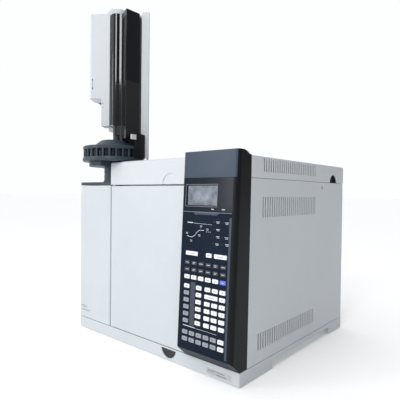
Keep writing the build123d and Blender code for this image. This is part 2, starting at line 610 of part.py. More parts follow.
R_FRONT, R_BACK, WALL_T = 100.0, 79.0, 3.5       # the right wall runs in towards the back
WALL_BACK = 108.0


def wall_x(y, inset=0.0):
    """x' of the outer face of the right wall at a depth y'."""
    return R_FRONT - inset - (y + 2) * (R_FRONT - R_BACK) / (WALL_BACK + 2)


def arc_piece(a0, a1, z0, height, r0=86.2, r1=89.6):
    """Part of a ring round the post axis between two headings (degrees)."""
    pts = [(0, 0)] + [(120 * math.cos(math.radians(a0 + (a1 - a0) * i / 4)), 120 * math.sin(math.radians(a0 + (a1 - a0) * i / 4)))
                      for i in range(5)]
    with BuildSketch(TP.offset(z0)) as ring:
        Circle(r1)
        Circle(r0, mode=Mode.SUBTRACT)
        with BuildLine():
            Polyline(*pts, close=True)
        make_face(mode=Mode.INTERSECT)
    extrude(ring.sketch, amount=height)


with BuildPart(TP) as tower_spine:
    # deep channel: right-hand wall, back and short left return
    with BuildSketch(TP.offset(495)):
        with BuildLine():
            Polyline((86.4, -2), (88, -4), (97.5, -4), (R_FRONT, -2), (R_BACK, WALL_BACK), (72, 124), (-38, 124), (-62, 104), (-62, 60),
                     (-58.5, 60), (-58.5, 102), (-36, 120.5), (70.2, 120.5), (wall_x(107, WALL_T), 107), (wall_x(0, WALL_T), 0), (86.4, 0), close=True)
        make_face()
    extrude(amount=405)
    bx(77.6, 90, -4, 2, 556, 900)
    bx(72, 90, 7.2, 9.6, 878, 900)                      # stop behind the door's upper corner
    # below the housing the back steps in, and is open above the sample turret
    bx(-80, 84.5, 50, 130, 490, 586, mode=Mode.SUBTRACT)
    bx(-80, -36, 50, 130, 490, 663, mode=Mode.SUBTRACT)
    # guard round the right front of the turret, with its latch tab
    arc_piece(-41.5, -1, 495, 18)
    arc_piece(-35, -1, 513, 46)
    arc_piece(-46, -34, 541.5, 13)
    # top plate and the raised motor cover
    with BuildSketch(TP.offset(896.5)):
        with BuildLine():
            Polyline((86.2, -4), (97.5, -4), (R_FRONT, -2), (R_BACK, WALL_BACK), (72, 124), (-38, 124), (-62, 104), (-62, 60.2), (-12, 34.2),
                     (-12, 22.5), (30, 22.5), (36, 9), (77.6, 9), (77.6, -4), close=True)
        make_face()
    extrude(amount=3.5)
    bx(-9, 16, 3, 30, 896.8, 900)
    disc(TP.offset(896.8), [(LOBE_X, LOBE_Y)], 9, 3.2)
    disc(TP.offset(884), [(LOBE_X, LOBE_Y)], 4.0, 13)
    bx(-42, 73, 112, 114, 586, 896.5)
    with BuildSketch(TP.offset(900)) as rail:
        with BuildLine():
            Polyline((78, -4), (97.5, -4), (R_FRONT, -2), (wall_x(100), 100), (78, 100), close=True)
        make_face()
    extrude(rail.sketch, amount=4.5, taper=20)
    # motor cover moulded in one with the top
    with BuildSketch(TP.offset(900)) as cap:
        with Locations((-4, 62)):
            RectangleRounded(62, 64, 26)
    extrude(cap.sketch, amount=CAP_H)
    fillet(tower_spine.faces().sort_by(Axis.Z)[-1].edges(), 13)
save(tower_spine, "tower_spine")

with BuildPart(TP) as tower_housing:
    with BuildSketch(TP.offset(663)):
        with BuildLine():
            Polyline((-70, 5), (-65, 0), (-12.5, 0), (-12.5, 20), (-15.5, 20), (-15.5, 3), (-64, 3), (-67, 6), (-67, 52), (-63, 59.6), (-66.4, 59.6), (-70, 52), close=True)
        make_face()
    extrude(amount=233.2)
    with BuildSketch(TP.offset(896.2)):
        with BuildLine():
            Polyline((-70, 5), (-65, 0), (-12.5, 0), (-12.5, 20), (-12.5, 33.5), (-62.4, 59.6), (-66.4, 59.6), (-70, 52), close=True)
        make_face()
    extrude(amount=3.8)
    with BuildSketch(TP.offset(663)):
        with BuildLine():
            Polyline((-70, 5), (-65, 0), (-12.5, 0), (-12.5, 20), (-12.5, 33.5), (-62.4, 59.6), (-66.4, 59.6), (-70, 52), close=True)
        make_face()
    extrude(amount=3)
    # narrow lower front strip
    bx(-36, -12.5, 0, 40, 586, 664)
    bx(-33, -14.5, 3, 41, 589, 664, mode=Mode.SUBTRACT)
save(tower_housing, "tower_housing")

with BuildPart(TP) as tower_door:
    # rounded hinge side, then a sharp prow
    with BuildSketch(TP.offset(587)):
        with Locations((LOBE_X, LOBE_Y)):
            Circle(LOBE_R)
        with BuildLine():
            Polyline((LOBE_X, -12), (24, -12), PROW, (70, -16), (75.5, -8), (76.8, -4), (76.8, 6), (LOBE_X, 6), close=True)
        make_face()
    extrude(amount=309)
    with BuildSketch(TP.offset(559.3)):
        with Locations((LOBE_X, LOBE_Y)):
            Circle(9.5)
        with BuildLine():
            Polyline((LOBE_X, -6.5), (18, -9.5), (24, -12), PROW, (70, -16), (75.5, -8), (76.8, -4), (76.8, 6), (LOBE_X, 6), close=True)
        make_face()
    extrude(amount=28)
    # skirt in front of the lower hinge arm
    with BuildSketch(TP.offset(546.5)):
        with BuildLine():
            Polyline((18, -9.5), (24, -12), PROW, (70, -16), (75.5, -8), (76.8, -4), (76.8, 6), (18, 6), close=True)
        make_face()
    extrude(amount=13)
    # hollow behind the front
    with BuildSketch(TP.offset(549.5)):
        with BuildLine():
            Polyline((29, 7), (29, -14.8), (43.6, -40.9), (67.8, -14), (72.5, -6), (73.8, -2), (73.8, 7), close=True)
        make_face()
    extrude(amount=343, mode=Mode.SUBTRACT)
    bx(72.8, 80, -20, 10, 882.5, 900, mode=Mode.SUBTRACT)       # notch at the upper outer corner
    disc(TP.offset(550), [(LOBE_X, LOBE_Y)], 4.06, 360, mode=Mode.SUBTRACT)
save(tower_door, "tower_door")

ROD_Y, ROD_X = 92.0, (22.0, 62.0)
with BuildPart(TP) as lift_frame:
    disc(TP.offset(600), [(ROD_X[0], ROD_Y), (ROD_X[1], ROD_Y)], 4.0, 270)
    bx(10, 72, 84, 111.8, 592, 600)
    bx(10, 72, 84, 111.8, 870, 878)
    disc(TP.offset(590), [(44, ROD_Y)], 4.06, 300, mode=Mode.SUBTRACT)
save(lift_frame, "lift_frame")

with BuildPart(TP) as lead_screw:
    disc(TP.offset(593), [(44, ROD_Y)], 4.0, 284)
save(lead_screw, "lead_screw")

with BuildPart(TP) as lift_motor:
    bx(28, 60, 76, 108, 878.4, 896)
    disc(TP.offset(870), [(44, ROD_Y)], 5.0, 10, mode=Mode.SUBTRACT)
    bx(24, 64, 72, 111.8, 878.2, 881)
    disc(TP.offset(870), [(44, ROD_Y)], 5.0, 12, mode=Mode.SUBTRACT)
save(lift_motor, "lift_motor")

with BuildPart(TP) as syringe_carriage:
    bx(13, 71, 80, 104, 690, 726)
    bx(38, 58, 52, 80, 700, 716)
    disc(TP.offset(680), [(ROD_X[0], ROD_Y), (ROD_X[1], ROD_Y)], 4.06, 60, mode=Mode.SUBTRACT)
    disc(TP.offset(680), [(44, ROD_Y)], 4.6, 60, mode=Mode.SUBTRACT)
    disc(TP.offset(690), [(48, 58)], 3.6, 40, mode=Mode.SUBTRACT)
    bx(30, 66, 79, 85, 720, 745)
save(syringe_carriage, "syringe_carriage")

with BuildPart(TP) as syringe:
    disc(TP.offset(696), [(48, 58)], 3.5, 80)
    disc(TP.offset(716.2), [(48, 58)], 6, 3)
    disc(TP.offset(630), [(48, 58)], 0.6, 68)
    disc(TP.offset(700), [(48, 58)], 1.3, 90, mode=Mode.SUBTRACT)
save(syringe, "syringe")

with BuildPart(TP) as plunger_carriage:
    bx(13, 71, 80, 104, 800, 824)
    bx(40, 56, 52, 80, 806, 816)
    disc(TP.offset(790), [(ROD_X[0], ROD_Y), (ROD_X[1], ROD_Y)], 4.06, 60, mode=Mode.SUBTRACT)
    disc(TP.offset(790), [(44, ROD_Y)], 4.6, 60, mode=Mode.SUBTRACT)
    disc(TP.offset(756), [(48, 58)], 1.2, 51)
    disc(TP.offset(802), [(48, 58)], 5, 4.5)
save(plunger_carriage, "plunger_carriage")

# ---------------------------------------------------------------- sample turret
N_VIAL, VIAL_R, VIAL_PCD, FIN_AT = 28, 5.6, 71.5, -84.4
with BuildPart(TP) as turret:
    with BuildSketch(Plane(origin=TP.origin, x_dir=(1, 0, 0), z_dir=(0, -1, 0))):
        with BuildLine():
            Polyline((12.1, 482.9), (82, 482.9), (TURRET_R, 485.4), (TURRET_R, 490), (82, 494.5), (62, 494.5), (62, 515.5),
                     (81.5, 515.5), (82.8, 517), (82.8, 522.5), (81, 524.5), (55, 525.5), (51, 529.5), (40, 539), (33, 543.3), (28, 544),
                     (12.1, 544), close=True)
        make_face()
    revolve(axis=Axis((TP.origin.X, TP.origin.Y, 0), (0, 0, 1)))
    # a web and a rounded column between each two vial places
    for k in range(N_VIAL):
        a = math.radians(FIN_AT + k * 360 / N_VIAL)
        with BuildSketch(Plane(origin=TP.offset(494.0).from_local_coords((69 * math.cos(a), 69 * math.sin(a), 0)),
                               x_dir=TP.x_dir.rotate(Axis.Z, math.degrees(a)), z_dir=(0, 0, 1))):
            Rectangle(17, 2.6)
            with Locations((9.3, 0)):
                Circle(3.2)
    extrude(amount=22)
    # socket for each vial
    with BuildSketch(TP.offset(486.5)):
        with PolarLocations(VIAL_PCD, N_VIAL, start_angle=FIN_AT + 180 / N_VIAL):
            Circle(VIAL_R + 0.3)
    extrude(amount=60, mode=Mode.SUBTRACT)
save(turret, "turret")

with BuildPart(TP) as vials:
    for z, r, h in ((486.5, VIAL_R, 24.5), (511, 3.6, 2.5), (513.5, 5.2, 6.0)):
        with BuildSketch(TP.offset(z)) as ring:
            with PolarLocations(VIAL_PCD, N_VIAL, start_angle=FIN_AT + 180 / N_VIAL):
                Circle(r)
        extrude(ring.sketch, amount=h)
save(vials, "vials")
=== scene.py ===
import bpy
import bmesh
import json
import math
from mathutils import Matrix, Vector


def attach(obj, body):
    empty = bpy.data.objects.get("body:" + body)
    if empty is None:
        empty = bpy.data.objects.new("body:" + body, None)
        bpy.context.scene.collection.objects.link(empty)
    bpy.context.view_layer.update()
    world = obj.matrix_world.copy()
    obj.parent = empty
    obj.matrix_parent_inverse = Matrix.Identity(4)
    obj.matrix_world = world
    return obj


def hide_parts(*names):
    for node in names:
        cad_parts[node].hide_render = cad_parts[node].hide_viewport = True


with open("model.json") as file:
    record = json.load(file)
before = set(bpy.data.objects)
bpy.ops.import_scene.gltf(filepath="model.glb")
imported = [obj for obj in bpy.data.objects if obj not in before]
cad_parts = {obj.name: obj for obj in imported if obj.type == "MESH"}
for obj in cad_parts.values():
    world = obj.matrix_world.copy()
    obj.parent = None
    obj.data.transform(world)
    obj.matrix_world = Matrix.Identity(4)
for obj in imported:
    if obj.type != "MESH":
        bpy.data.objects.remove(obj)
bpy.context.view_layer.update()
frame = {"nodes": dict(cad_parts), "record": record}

NODES = frame["nodes"]
BODY_OF = {n: b for b, ns in frame["record"]["behaviour"]["bodies"].items() for n in ns}
SLOT_OF = {s["node"]: s["material_slot"] for s in frame["record"]["subparts"]}
scene = bpy.context.scene
COLL = scene.collection

# ------------------------------------------------------------------ placement helpers
XO, YO = 290.0, -252.0                  # datum corner: right side, front plane, bench (mm)
TX, TY, TURN = -464.0, 30.0, math.radians(40.0)
CA, SA = math.cos(TURN), math.sin(TURN)


def D(x, y, z):
    return Vector(((x + XO) / 1000, (y + YO) / 1000, z / 1000))


def T(x, y, z):
    return D(TX + CA * x - SA * y, TY + SA * x + CA * y, z)


FB, FT = (-28.7, 58.0), (-9.1, 490.0)
TILT = math.atan2(FT[0] - FB[0], FT[1] - FB[1])


def fv(z):
    return (z - FB[1]) / math.cos(TILT)


def F(x, v, n):
    """Point on the keypad face: across, up the face, out of it (mm)."""
    return D(x, FB[0] + v * math.sin(TILT) - n * math.cos(TILT), FB[1] + v * math.cos(TILT) + n * math.sin(TILT))


# ------------------------------------------------------------------ materials
def hexmix(nt, fac, a, b):
    m = nt.nodes.new("ShaderNodeMix")
    m.data_type = "RGBA"
    nt.links.new(fac, m.inputs[0])
    m.inputs[6].default_value = (*a, 1)
    m.inputs[7].default_value = (*b, 1)
    return m.outputs[2]


def noise(nt, co, scale, detail=4.0, rough=0.55):
    n = nt.nodes.new("ShaderNodeTexNoise")
    nt.links.new(co, n.inputs["Vector"])
    n.inputs["Scale"].default_value = scale
    n.inputs["Detail"].default_value = detail
    n.inputs["Roughness"].default_value = rough
    return n.outputs["Fac"]


def maprange(nt, val, a, b, c, d):
    m = nt.nodes.new("ShaderNodeMapRange")
    nt.links.new(val, m.inputs["Value"])
    for k, v in zip(("From Min", "From Max", "To Min", "To Max"), (a, b, c, d)):
        m.inputs[k].default_value = v
    return m.outputs["Result"]


MATS = {}


def make(name, dark, light, rough=(0.35, 0.5), metal=0.0, scale=6.0, grain=900.0, bump=0.08, dist=0.0002,
         coat=0.0, brush=None, alpha=1.0, trans=0.0, ior=1.45, spec=0.5, dirt=0.0):
    m = bpy.data.materials.new(name)
    m.use_nodes = True
    nt = m.node_tree
    b = nt.nodes["Principled BSDF"]
    tc = nt.nodes.new("ShaderNodeTexCoord")
    co = tc.outputs["Object"]
    if brush:
        mp = nt.nodes.new("ShaderNodeMapping")
        mp.inputs["Scale"].default_value = brush
        nt.links.new(co, mp.inputs["Vector"])
        gco = mp.outputs["Vector"]
    else:
        gco = co
    n1 = noise(nt, co, scale, 5.0)
    fac = maprange(nt, n1, 0.3, 0.7, 0.0, 1.0)
    col = hexmix(nt, fac, dark, light)
    if dirt:
        # a trace of dust and handling marks in broad, soft patches
        n3 = noise(nt, co, scale * 3.1, 8.0, 0.7)
        f3 = maprange(nt, n3, 0.55, 0.8, 0.0, dirt)
        mx = nt.nodes.new("ShaderNodeMix")
        mx.data_type = "RGBA"
        nt.links.new(f3, mx.inputs[0])
        nt.links.new(col, mx.inputs[6])
        mx.inputs[7].default_value = (dark[0] * 0.72, dark[1] * 0.71, dark[2] * 0.68, 1)
        col = mx.outputs[2]
    nt.links.new(col, b.inputs["Base Color"])
    n2 = noise(nt, gco, grain, 3.0)
    nt.links.new(maprange(nt, n2, 0.3, 0.7, rough[0], rough[1]), b.inputs["Roughness"])
    if bump:
        bp = nt.nodes.new("ShaderNodeBump")
        bp.inputs["Strength"].default_value = bump
        bp.inputs["Distance"].default_value = dist
        nt.links.new(n2, bp.inputs["Height"])
        nt.links.new(bp.outputs["Normal"], b.inputs["Normal"])
    b.inputs["Metallic"].default_value = metal
    b.inputs["Coat Weight"].default_value = coat
    b.inputs["Coat Roughness"].default_value = 0.06
    b.inputs["IOR"].default_value = ior
    b.inputs["Alpha"].default_value = alpha
    b.inputs["Transmission Weight"].default_value = trans
    b.inputs["Specular IOR Level"].default_value = spec
    MATS[name] = m
    return m


make("white_paint", (0.548, 0.585, 0.612), (0.578, 0.612, 0.640), (0.38, 0.50), scale=4, grain=1400, bump=0.10, dist=0.00015, dirt=0.10, spec=0.35)
make("white_plastic", (0.560, 0.592, 0.616), (0.590, 0.620, 0.642), (0.42, 0.56), scale=5, grain=1800, bump=0.14, dist=0.00015, dirt=0.08, spec=0.35)
make("hood_plastic", (0.033, 0.049, 0.074), (0.044, 0.064, 0.094), (0.24, 0.36), scale=9, grain=2400, bump=0.08, dist=0.0001, spec=0.25)
make("bezel_side", (0.004, 0.005, 0.0065), (0.007, 0.0085, 0.010), (0.30, 0.42), scale=9, grain=2400, bump=0.08, dist=0.0001, spec=0.16)
make("key_plate", (0.0065, 0.012, 0.023), (0.010, 0.017, 0.031), (0.28, 0.38), scale=7, grain=2600, bump=0.05, dist=0.0001, spec=0.06)
make("display_band", (0.006, 0.0095, 0.017), (0.009, 0.014, 0.023), (0.14, 0.22), scale=7, grain=2000, bump=0.03, dist=0.0001, spec=0.13)
make("black_gloss", (0.0015, 0.0022, 0.0045), (0.003, 0.004, 0.007), (0.05, 0.10), scale=5, grain=60, bump=0.012, dist=0.0004, spec=0.5)
# painted reflection: a lighter grey gloss for the lower tower door, standing for the horizon reflected in the black
# door
make("door_painted_reflection_gloss", (0.013, 0.015, 0.016), (0.018, 0.020, 0.021), (0.07, 0.13), scale=5, grain=60, bump=0.012, dist=0.0004, spec=0.45)
make("slate_plastic", (0.030, 0.043, 0.058), (0.044, 0.060, 0.077), (0.34, 0.48), scale=14, grain=1500, bump=0.12, dist=0.00015, dirt=0.2, spec=0.35)
make("key_white", (0.80, 0.81, 0.83), (0.86, 0.87, 0.88), (0.34, 0.46), scale=30, grain=3000, bump=0.06, dist=0.0001)
make("key_grey", (0.27, 0.30, 0.345), (0.32, 0.35, 0.395), (0.34, 0.46), scale=30, grain=3000, bump=0.06, dist=0.0001)
make("key_dark", (0.022, 0.026, 0.037), (0.029, 0.034, 0.046), (0.30, 0.42), scale=30, grain=3000, bump=0.06, dist=0.0001)
make("key_blue", (0.10, 0.13, 0.60), (0.13, 0.17, 0.70), (0.30, 0.42), scale=30, grain=3000, bump=0.06, dist=0.0001)
make("steel_sheet", (0.52, 0.53, 0.54), (0.60, 0.61, 0.61), (0.34, 0.52), metal=1.0, scale=22, grain=300, bump=0.05, dist=0.0002)
make("stainless", (0.60, 0.60, 0.59), (0.66, 0.66, 0.64), (0.20, 0.38), metal=1.0, scale=8, grain=1.0, bump=0.05, dist=0.0002, brush=(30, 30, 900))
make("aluminium", (0.66, 0.67, 0.68), (0.74, 0.75, 0.75), (0.24, 0.40), metal=1.0, scale=12, grain=1.0, bump=0.05, dist=0.0002, brush=(900, 60, 60))
make("insulation", (0.70, 0.68, 0.60), (0.82, 0.80, 0.72), (0.85, 0.97), scale=60, grain=500, bump=0.6, dist=0.001)
make("seal", (0.52, 0.50, 0.45), (0.68, 0.66, 0.60), (0.8, 0.95), scale=200, grain=700, bump=0.8, dist=0.0008)
make("rubber_black", (0.012, 0.012, 0.012), (0.022, 0.022, 0.022), (0.6, 0.8), scale=40, grain=900, bump=0.3, dist=0.0003)
make("black_plastic", (0.010, 0.010, 0.011), (0.018, 0.018, 0.020), (0.36, 0.52), scale=20, grain=1600, bump=0.12, dist=0.0002)
make("heater", (0.10, 0.075, 0.06), (0.24, 0.19, 0.16), (0.45, 0.65), metal=0.8, scale=60, grain=700, bump=0.2, dist=0.0002)
make("brass", (0.62, 0.44, 0.16), (0.75, 0.56, 0.24), (0.20, 0.34), metal=1.0, scale=30, grain=800, bump=0.04, dist=0.0001)
make("board", (0.008, 0.085, 0.035), (0.014, 0.12, 0.05), (0.25, 0.4), scale=60, grain=900, bump=0.1, dist=0.0001)
make("vial_glass", (0.010, 0.014, 0.026), (0.020, 0.028, 0.045), (0.08, 0.16), scale=40, grain=100, bump=0.0, alpha=0.9)
make("syringe_glass", (0.70, 0.76, 0.78), (0.80, 0.85, 0.86), (0.03, 0.07), scale=40, grain=100, bump=0.0, alpha=0.45)
make("column", (0.16, 0.075, 0.02), (0.26, 0.13, 0.04), (0.25, 0.4), scale=80, grain=800, bump=0.05)
make("window", (0.03, 0.035, 0.045), (0.04, 0.045, 0.055), (0.03, 0.06), scale=10, grain=50, bump=0.0, alpha=0.16)
make("print_white", (0.62, 0.65, 0.70), (0.72, 0.75, 0.80), (0.4, 0.5), scale=50, grain=2000, bump=0.02)
make("print_dark", (0.05, 0.06, 0.09), (0.08, 0.09, 0.12), (0.4, 0.5), scale=50, grain=2000, bump=0.02)
make("lcd_glass", (0.16, 0.19, 0.24), (0.62, 0.69, 0.80), (0.10, 0.16), scale=34, grain=900, bump=0.02, dist=0.0001)
make("rim_grey", (0.16, 0.185, 0.22), (0.21, 0.235, 0.27), (0.25, 0.35), scale=20, grain=1500, bump=0.05, dist=0.0001)
# painted shade: a grey for undersides, standing for the shade that falls under the white housing
make("under_grey", (0.22, 0.235, 0.24), (0.28, 0.295, 0.30), (0.5, 0.65), scale=12, grain=1200, bump=0.1, dist=0.0002)
make("gap_black", (0.006, 0.006, 0.007), (0.012, 0.012, 0.013), (0.6, 0.8), scale=12, grain=900, bump=0.1, dist=0.0002, spec=0.2)
make("led_dark", (0.02, 0.02, 0.022), (0.035, 0.035, 0.04), (0.12, 0.2), scale=30, grain=300, bump=0.0)
make("zinc", (0.50, 0.50, 0.48), (0.62, 0.62, 0.60), (0.28, 0.42), metal=1.0, scale=90, grain=900, bump=0.05, dist=0.0001)
make("label_blank", (0.44, 0.45, 0.46), (0.50, 0.51, 0.52), (0.35, 0.45), scale=30, grain=900, bump=0.03, dist=0.0001)
make("floor", (0.945, 0.95, 0.955), (0.965, 0.97, 0.975), (0.75, 0.9), scale=1.2, grain=60, bump=0.02, dist=0.0005, spec=0.05)
fb = MATS["floor"].node_tree.nodes["Principled BSDF"]
fb.inputs["Emission Color"].default_value = (1, 1, 1, 1)
fb.inputs["Emission Strength"].default_value = 0.19


# ------------------------------------------------------------------ mesh helpers
def finish_mesh(me, sharp=35.0):
    me.shade_smooth()
    me.set_sharp_from_angle(angle=math.radians(sharp))
    me.update()


def add_obj(name, bm, mat, body, sharp=35.0, weighted=False):
    me = bpy.data.meshes.new(name)
    bmesh.ops.recalc_face_normals(bm, faces=bm.faces[:])
    bm.to_mesh(me)
    bm.free()
    finish_mesh(me, sharp)
    o = bpy.data.objects.new(name, me)
    COLL.objects.link(o)
    me.materials.append(MATS[mat] if isinstance(mat, str) else mat)
    if weighted:
        w = o.modifiers.new("wn", "WEIGHTED_NORMAL")
        w.keep_sharp = True
    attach(o, body)
    return o


def soften(node, width=0.6, seg=2, angle=28.0, mat=None, name=None, sharp=40.0):
    """A copy of a CAD piece with real rounded edges, standing for that piece."""
    src = NODES[node]
    bm = bmesh.new()
    bm.from_mesh(src.data)
    bmesh.ops.remove_doubles(bm, verts=bm.verts[:], dist=2e-6)
    bmesh.ops.dissolve_limit(bm, angle_limit=math.radians(0.4), verts=bm.verts[:], edges=bm.edges[:])
    edges = []
    for e in bm.edges:
        if len(e.link_faces) == 2:
            try:
                a = e.calc_face_angle()
            except ValueError:
                continue
            if math.degrees(a) > angle:
                edges.append(e)
    if edges and width > 0:
        bmesh.ops.bevel(bm, geom=edges, offset=width / 1000, offset_type="OFFSET", segments=seg, profile=0.5,
                        affect="EDGES", clamp_overlap=True, loop_slide=True)
    o = add_obj(name or node + "_body", bm, mat or SLOT_OF[node], BODY_OF[node], sharp, weighted=True)
    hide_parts(node)
    return o


def box_bm(bm, lo, hi, place=D, bev=0.0, seg=2):
    """A block between two corners given in the placement's own axes (mm), edges rounded."""
    b2 = bmesh.new()
    bmesh.ops.create_cube(b2, size=1.0)
    for v in b2.verts:
        v.co = Vector(((lo[0] + hi[0]) / 2 + v.co.x * (hi[0] - lo[0]), (lo[1] + hi[1]) / 2 + v.co.y * (hi[1] - lo[1]),
                       (lo[2] + hi[2]) / 2 + v.co.z * (hi[2] - lo[2])))
    if bev > 0:
        bmesh.ops.bevel(b2, geom=b2.edges[:], offset=bev, offset_type="OFFSET", segments=seg, profile=0.5,
                        affect="EDGES", clamp_overlap=True)
    merge(bm, b2, place)


def merge(bm, b2, place=None):
    m = {}
    for v in b2.verts:
        m[v] = bm.verts.new(place(*v.co) if place else v.co)
    for f in b2.faces:
        try:
            bm.faces.new([m[v] for v in f.verts])
        except ValueError:
            pass
    b2.free()


def prism(bm, pts, z0, z1, place=D, bev=0.0, seg=2):
    """A straight prism over an outline (x, y) from z0 to z1, in the placement's axes (mm)."""
    b2 = bmesh.new()
    lo = [b2.verts.new((x, y, z0)) for x, y in pts]
    hi = [b2.verts.new((x, y, z1)) for x, y in pts]
    b2.faces.new(lo[::-1])
    b2.faces.new(hi)
    n = len(pts)
    for i in range(n):
        b2.faces.new((lo[i], lo[(i + 1) % n], hi[(i + 1) % n], hi[i]))
    if bev > 0:
        ed = [e for e in b2.edges if e.calc_face_angle(0) > math.radians(25)]
        bmesh.ops.bevel(b2, geom=ed, offset=bev, offset_type="OFFSET", segments=seg, profile=0.5, affect="EDGES", clamp_overlap=True)
    merge(bm, b2, place)


def lathe(bm, prof, centre, place, n=48, axis="z"):
    """A turned piece from (radius, height) pairs about an axis through centre."""
    rings = []
    for r, h in prof:
        ring = []
        for k in range(n):
            a = 2 * math.pi * k / n
            c, s = r * math.cos(a), r * math.sin(a)
            if axis == "z":
                p = (centre[0] + c, centre[1] + s, centre[2] + h)
            elif axis == "y":
                p = (centre[0] + c, centre[1] + h, centre[2] + s)
            else:
                p = (centre[0] + h, centre[1] + c, centre[2] + s)
            ring.append(bm.verts.new(place(*p)))
        rings.append(ring)
    for a, b in zip(rings, rings[1:]):
        for k in range(n):
            bm.faces.new((a[k], a[(k + 1) % n], b[(k + 1) % n], b[k]))
    if prof[0][0] > 0.01:
        bm.faces.new(rings[0][::-1])
    if prof[-1][0] > 0.01:
        bm.faces.new(rings[-1])


# ------------------------------------------------------------------ camera
yaw, pitch, roll, FPX = 0.71544, -0.01606, 0.01128, 403.075
cy, sy, cp, sp = math.cos(yaw), math.sin(yaw), math.cos(pitch), math.sin(pitch)
fwd = Vector((-sy * cp, cy * cp, sp))
rt = Vector((cy, sy, 0))
up = rt.cross(fwd)
cr, sr = math.cos(roll), math.sin(roll)
rt2, up2 = cr * rt + sr * up, -sr * rt + cr * up
cam_data = bpy.data.cameras.new("camera")
cam = bpy.data.objects.new("camera", cam_data)
COLL.objects.link(cam)
cam_data.sensor_width = 36.0
cam_data.lens = FPX / 400 * 36.0
cam_data.clip_start, cam_data.clip_end = 0.01, 60
M = Matrix((rt2, up2, -fwd)).transposed().to_4x4()
M.translation = Vector(((470.842 + XO) / 1000, (-670.673 + YO) / 1000, 0.398005))
cam.matrix_world = M
scene.camera = cam

# ------------------------------------------------------------------ floor, world, light
bm = bmesh.new()
bmesh.ops.create_grid(bm, x_segments=8, y_segments=8, size=60)
me = bpy.data.meshes.new("studio_floor")
bm.to_mesh(me)
bm.free()
floor = bpy.data.objects.new("studio_floor", me)
COLL.objects.link(floor)
me.materials.append(MATS["floor"])
floor.location.z = -0.0004

world = bpy.data.worlds.new("studio")
scene.world = world
world.use_nodes = True
wn = world.node_tree
bg = wn.nodes["Background"]
# soft white room whose right-hand side is dimmer, so the right side of the object falls into shade
wtc = wn.nodes.new("ShaderNodeTexCoord")
wsep = wn.nodes.new("ShaderNodeSeparateXYZ")
wn.links.new(wtc.outputs["Generated"], wsep.inputs["Vector"])
wmr = wn.nodes.new("ShaderNodeMapRange")
wmr.interpolation_type = "SMOOTHSTEP"
wn.links.new(wsep.outputs["X"], wmr.inputs["Value"])
wmr.inputs["From Min"].default_value = -0.24
wmr.inputs["From Max"].default_value = 0.34
wmix = wn.nodes.new("ShaderNodeMix")
wmix.data_type = "RGBA"
wn.links.new(wmr.outputs["Result"], wmix.inputs[0])
wmix.inputs[6].default_value = (0.985, 1.0, 1.015, 1)
wmix.inputs[7].default_value = (0.27, 0.27, 0.275, 1)
wn.links.new(wmix.outputs[2], bg.inputs["Color"])
bg.inputs["Strength"].default_value = 1.0


def area(name, loc, target, size, power, color=(1, 1, 1), sizey=None):
    d = bpy.data.lights.new(name, "AREA")
    d.energy = power
    d.color = color
    d.shape = "RECTANGLE"
    d.size = size
    d.size_y = sizey or size
    o = bpy.data.objects.new(name, d)
    COLL.objects.link(o)
    o.location = loc
    o.rotation_euler = (Vector(target) - Vector(loc)).to_track_quat("-Z", "Y").to_euler()
    return o


area("key_light", (-1.5, -2.9, 2.0), (0, 0, 0.35), 1.4, 7.5, (1.0, 0.995, 0.985))
area("strip_left", (-1.15, -2.2, 0.95), (-0.2, -0.2, 0.75), 0.14, 7, sizey=1.1)
area("tower_fill", (0.6, -1.35, 1.3), (-0.19, -0.2, 0.8), 0.45, 9.5)
sun_data = bpy.data.lights.new("overhead", "SUN")
sun_data.energy = 0.5
sun_data.angle = math.radians(65)
sun = bpy.data.objects.new("overhead", sun_data)
COLL.objects.link(sun)
sun.rotation_euler = (math.radians(12), math.radians(-10), 0)
scene.view_settings.view_transform = "Standard"
scene.view_settings.exposure = 0.0

# ------------------------------------------------------------------ pieces carried over with rounded edges
R = {
    "base_pan": 1.2, "front_left_panel": 1.4, "left_side_panel": 0.8, "right_side_panel": 0.7, "rear_panel": 0.5, "side_deck_cap": 1.0,
    "front_top_cover": 1.6, "right_top_cover": 0.9, "oven_door_shell": 1.6, "keypad_plate": 0.3, "detector_lid": 1.2,
    "mounting_post": 0.6, "tower_base": 1.2, "tower_housing": 1.6, "turret": 0.5, "vials": 0.4,
}
for n, w in R.items():
    soften(n, w)


def zoned(node, width, cuts, mats, pick, sharp=40.0, seg_=2, angle=28.0):
    """Like soften, with the piece cut along planes and a finish chosen for each zone."""
    bm = bmesh.new()
    bm.from_mesh(NODES[node].data)
    bmesh.ops.remove_doubles(bm, verts=bm.verts[:], dist=2e-6)
    bmesh.ops.dissolve_limit(bm, angle_limit=math.radians(0.4), verts=bm.verts[:], edges=bm.edges[:])
    edges = [e for e in bm.edges if len(e.link_faces) == 2 and math.degrees(e.calc_face_angle(0)) > angle]
    bmesh.ops.bevel(bm, geom=edges, offset=width / 1000, offset_type="OFFSET", segments=seg_, profile=0.5,
                    affect="EDGES", clamp_overlap=True, loop_slide=True)
    for co, no in cuts:
        bmesh.ops.bisect_plane(bm, geom=bm.verts[:] + bm.edges[:] + bm.faces[:], dist=1e-6, plane_co=co, plane_no=no)
    bmesh.ops.recalc_face_normals(bm, faces=bm.faces[:])
    for f in bm.faces:
        f.material_index = pick(f.calc_center_median(), f.normal)
    me_ = bpy.data.meshes.new(node + "_body")
    bm.to_mesh(me_)
    bm.free()
    finish_mesh(me_, sharp)
    o = bpy.data.objects.new(node + "_body", me_)
    COLL.objects.link(o)
    for m in mats:
        me_.materials.append(MATS[m])
    w = o.modifiers.new("wn", "WEIGHTED_NORMAL")
    w.keep_sharp = True
    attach(o, BODY_OF[node])
    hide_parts(node)
    return o


def bezel_pick(c, n):
    x, z = c.x * 1000 - XO, c.z * 1000
    if n.x > 0.55 or x > -1.2:
        return 1
    if x > -12.4 and z < 432:
        return 1
    if z > 432:
        return 0
    return 2 if z > 359 else 3


